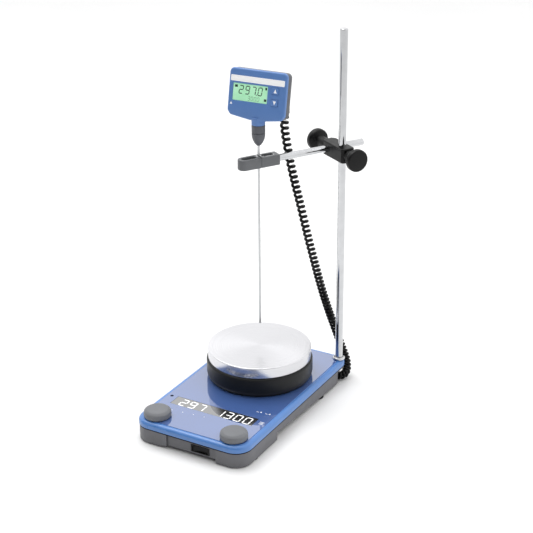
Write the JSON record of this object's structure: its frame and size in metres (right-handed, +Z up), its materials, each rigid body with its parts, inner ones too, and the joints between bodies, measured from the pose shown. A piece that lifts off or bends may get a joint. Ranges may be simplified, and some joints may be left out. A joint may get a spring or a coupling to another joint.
{
  "type": "magnetic stirrer",
  "caption": "Hot-plate magnetic stirrer with two knobs and a display, a stand rod, boss head, clip and contact thermometer on a curly lead.",
  "frame": {"origin": "centre of the base's footprint, on the table", "axes": "+Z up, -Y towards the user, where the knobs and the power switch are, +X to the user's right"},
  "size_m": [0.1913, 0.3203, 0.482],
  "materials": {
    "grey_housing": "moulded grey plastic, light texture",
    "blue_cover": "smooth blue enamel-like plastic",
    "panel_glass": "glossy blue pane",
    "black_rubber": "matt rubber",
    "black_plastic": "matt black plastic",
    "black_ring": "satin black",
    "plate_metal": "fine turned aluminium",
    "steel": "bright steel",
    "chrome_rod": "polished",
    "knob_grey": "soft-touch grey",
    "display": "liquid crystal under glass",
    "green_display": "liquid crystal, green backlight",
    "board": "circuit board",
    "copper": "wound wire and laminations",
    "magnet": "sintered magnet",
    "insulation": "pressed fibre",
    "head_black": "black cast metal",
    "clip_grey": "grey plastic",
    "case_blue": "blue plastic, light texture",
    "case_grey": "grey plastic",
    "cord_black": "black cord jacket"
  },
  "bodies": {
    "base": {"lower_housing": "grey_housing", "upper_cover": "blue_cover", "housing_seal": "black_rubber", "top_panel": "panel_glass", "rubber_feet": "black_rubber", "housing_screws": "steel", "lcd_module": "display", "main_board": "board", "board_controls": "black_plastic", "transformer": "copper", "rod_socket": "steel", "mains_inlet": "black_plastic", "inlet_pins": "steel", "sensor_socket": "black_plastic", "cord_plug": "black_plastic", "power_switch_frame": "black_plastic", "pedestal_ring": "black_ring", "hot_plate": "plate_metal", "heating_element": "steel", "insulation_disc": "insulation", "plate_sensor": "steel", "plate_standoffs": "steel", "motor_housing": "plate_metal", "motor_stator": "copper", "motor_bearings": "steel", "cord_low": "cord_black"},
    "drive": {"motor_shaft": "steel", "rotor_magnet": "magnet", "magnet_yoke": "steel", "drive_magnets": "magnet"},
    "heat_stem": {"heat_plunger": "black_plastic"},
    "heat_dial": {"heat_knob": "knob_grey"},
    "motor_stem": {"motor_plunger": "black_plastic"},
    "motor_dial": {"motor_knob": "knob_grey"},
    "rocker": {"power_rocker": "black_plastic"},
    "trimmer": {"safety_screw": "black_plastic"},
    "stand": {"support_rod": "chrome_rod", "rod_collar": "chrome_rod", "cord_middle": "cord_black"},
    "head": {"boss_head": "head_black", "cord_upper": "cord_black"},
    "rod_clamp": {"rod_clamp_screw": "steel", "rod_clamp_knob": "black_plastic"},
    "arm_clamp": {"arm_clamp_screw": "steel", "arm_clamp_knob": "black_plastic"},
    "arm": {"holding_rod": "chrome_rod", "clip_body": "clip_grey", "clip_jaw": "clip_grey", "clip_spring": "steel", "cord_high": "cord_black"},
    "sensor": {"sensor_front_shell": "case_blue", "sensor_back_shell": "case_grey", "sensor_display": "green_display", "sensor_board": "board", "gland_ring": "case_grey", "gland_tip": "case_grey", "probe": "steel", "sensor_screws": "steel"},
    "up_key": {"up_button": "case_blue"},
    "down_key": {"down_button": "case_blue"}
  },
  "joints": [
    {"name": "motor_spin", "type": "hinge", "parent": "base", "child": "drive", "pos_m": [0, 0.041, 0.03], "axis": [0, 0, 1], "continuous": true},
    {"name": "heat_press", "type": "slide", "parent": "base", "child": "heat_stem", "axis": [0, 0, -1], "range_m": [0, 0.0005], "stiffness_N_per_m": 1500, "springref_m": -0.0005},
    {"name": "heat_turn", "type": "hinge", "parent": "heat_stem", "child": "heat_dial", "pos_m": [-0.0554, -0.118, 0.034], "axis": [0, 0, 1], "continuous": true},
    {"name": "motor_press", "type": "slide", "parent": "base", "child": "motor_stem", "axis": [0, 0, -1], "range_m": [0, 0.0005], "stiffness_N_per_m": 1500, "springref_m": -0.0005},
    {"name": "motor_turn", "type": "hinge", "parent": "motor_stem", "child": "motor_dial", "pos_m": [0.0554, -0.118, 0.034], "axis": [0, 0, 1], "continuous": true},
    {"name": "power_rock", "type": "hinge", "parent": "base", "child": "rocker", "pos_m": [0.018, -0.1308, 0.0118], "axis": [0, 0, 1], "range_deg": [-12, 0]},
    {"name": "trim_turn", "type": "hinge", "parent": "base", "child": "trimmer", "pos_m": [-0.0675, -0.067, 0.028], "axis": [0, 0, 1], "range_deg": [-135, 135]},
    {"name": "stand_swing", "type": "hinge", "parent": "base", "child": "stand", "pos_m": [0.0725, 0.1283, 0.03], "axis": [0, 0, 1], "range_deg": [-25, 60], "deforming": ["cord_low"]},
    {"name": "head_slide", "type": "slide", "parent": "stand", "child": "head", "axis": [0, 0, 1], "range_m": [-0.012, 0.12], "deforming": ["cord_middle"]},
    {"name": "rod_clamp_turn", "type": "hinge", "parent": "head", "child": "rod_clamp", "pos_m": [0.0725, 0.1283, 0.3226], "axis": [0.8526, -0.5225, 0], "range_deg": [0, 360]},
    {"name": "arm_clamp_turn", "type": "hinge", "parent": "head", "child": "arm_clamp", "pos_m": [0.0725, 0.1283, 0.3226], "axis": [0.8526, -0.5225, 0], "range_deg": [0, 360]},
    {"name": "arm_slide", "type": "slide", "parent": "head", "child": "arm", "axis": [0.5225, 0.8526, 0], "range_m": [-0.03, 0.03], "deforming": ["cord_upper"]},
    {"name": "sensor_slide", "type": "slide", "parent": "arm", "child": "sensor", "axis": [0, 0, 1], "range_m": [-0.01, 0.06], "deforming": ["cord_high"]},
    {"name": "up_press", "type": "slide", "parent": "sensor", "child": "up_key", "axis": [-0.0564, 0.9776, -0.2028], "range_m": [0, 0.0005], "stiffness_N_per_m": 400, "springref_m": -0.0005},
    {"name": "down_press", "type": "slide", "parent": "sensor", "child": "down_key", "axis": [-0.0564, 0.9776, -0.2028], "range_m": [0, 0.0005], "stiffness_N_per_m": 400, "springref_m": -0.0005}
  ]
}
